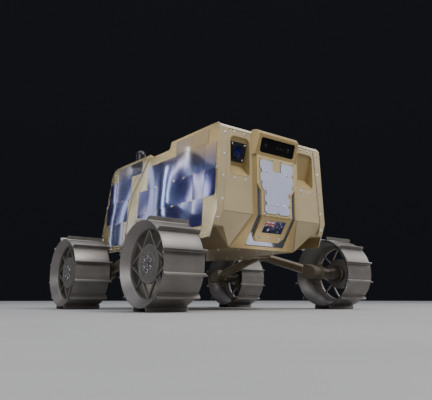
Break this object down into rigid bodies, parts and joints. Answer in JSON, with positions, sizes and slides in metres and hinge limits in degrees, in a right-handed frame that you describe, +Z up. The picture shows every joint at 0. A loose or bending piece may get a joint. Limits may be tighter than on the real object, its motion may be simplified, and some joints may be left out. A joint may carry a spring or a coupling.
{
  "type": "planetary rover prototype",
  "caption": "Small planetary rover prototype: boxy sheet-metal body with solar cells, sensor windows and lugged metal wheels on rocker legs.",
  "frame": {"origin": "centre of the footprint, on the ground under the body, midway between the axles", "axes": "+Z up, the front faces -Y, +X to the rover's left, along the axles"},
  "size_m": [0.814, 0.7516, 0.557],
  "materials": {
    "sheet_metal": "satin gold conversion coat",
    "inner_block": "plain block",
    "dark_mirror": "dark mirror",
    "white_plate": "matt lilac white",
    "black_gloss": "gloss",
    "black_plastic": "satin black",
    "lens_glass": "blue coated lens",
    "smoked_dome": "smoked gloss",
    "solar_cell": "glossy blue cover glass",
    "dark_metal": "dark bronze satin",
    "leg_metal": "dark bronze tube",
    "drive_metal": "grey satin",
    "wheel_grey": "rough satin grey"
  },
  "bodies": {
    "chassis": {"front_fascia": "sheet_metal", "chassis_tub": "sheet_metal", "top_deck": "sheet_metal", "rear_panel": "sheet_metal", "equipment_block": "inner_block", "centre_bezel": "sheet_metal", "slot_insert": "dark_mirror", "frame_plate": "sheet_metal", "tongue_panel": "sheet_metal", "scalloped_plate": "white_plate", "camera_hood": "sheet_metal", "stereo_camera": "black_gloss", "camera_flange": "black_plastic", "camera_lens": "lens_glass", "antenna_dome": "smoked_dome", "window_liner_left": "sheet_metal", "side_plate_left": "sheet_metal", "rear_side_panel_left": "sheet_metal", "front_solar_cells_left": "solar_cell", "rear_solar_cells_left": "solar_cell", "corner_strip_left": "sheet_metal", "pivot_housing_left": "dark_metal", "leg_front_left": "leg_metal", "knuckle_front_left": "dark_metal", "wheel_drive_front_left": "drive_metal", "leg_rear_left": "leg_metal", "knuckle_rear_left": "dark_metal", "wheel_drive_rear_left": "drive_metal", "window_liner_right": "sheet_metal", "side_plate_right": "sheet_metal", "rear_side_panel_right": "sheet_metal", "front_solar_cells_right": "solar_cell", "rear_solar_cells_right": "solar_cell", "corner_strip_right": "sheet_metal", "pivot_housing_right": "dark_metal", "leg_front_right": "leg_metal", "knuckle_front_right": "dark_metal", "wheel_drive_front_right": "drive_metal", "leg_rear_right": "leg_metal", "knuckle_rear_right": "dark_metal", "wheel_drive_rear_right": "drive_metal"},
    "wheel_front_left": {"wheel_front_left": "wheel_grey"},
    "wheel_rear_left": {"wheel_rear_left": "wheel_grey"},
    "wheel_front_right": {"wheel_front_right": "wheel_grey"},
    "wheel_rear_right": {"wheel_rear_right": "wheel_grey"}
  },
  "joints": [
    {"name": "wheel_front_left_spin", "type": "hinge", "parent": "chassis", "child": "wheel_front_left", "pos_m": [0.3445, -0.257, 0.11884], "axis": [1, 0, 0], "continuous": true},
    {"name": "wheel_rear_left_spin", "type": "hinge", "parent": "chassis", "child": "wheel_rear_left", "pos_m": [0.3445, 0.257, 0.11884], "axis": [1, 0, 0], "continuous": true},
    {"name": "wheel_front_right_spin", "type": "hinge", "parent": "chassis", "child": "wheel_front_right", "pos_m": [-0.3445, -0.257, 0.11884], "axis": [1, 0, 0], "continuous": true},
    {"name": "wheel_rear_right_spin", "type": "hinge", "parent": "chassis", "child": "wheel_rear_right", "pos_m": [-0.3445, 0.257, 0.11884], "axis": [1, 0, 0], "continuous": true}
  ]
}
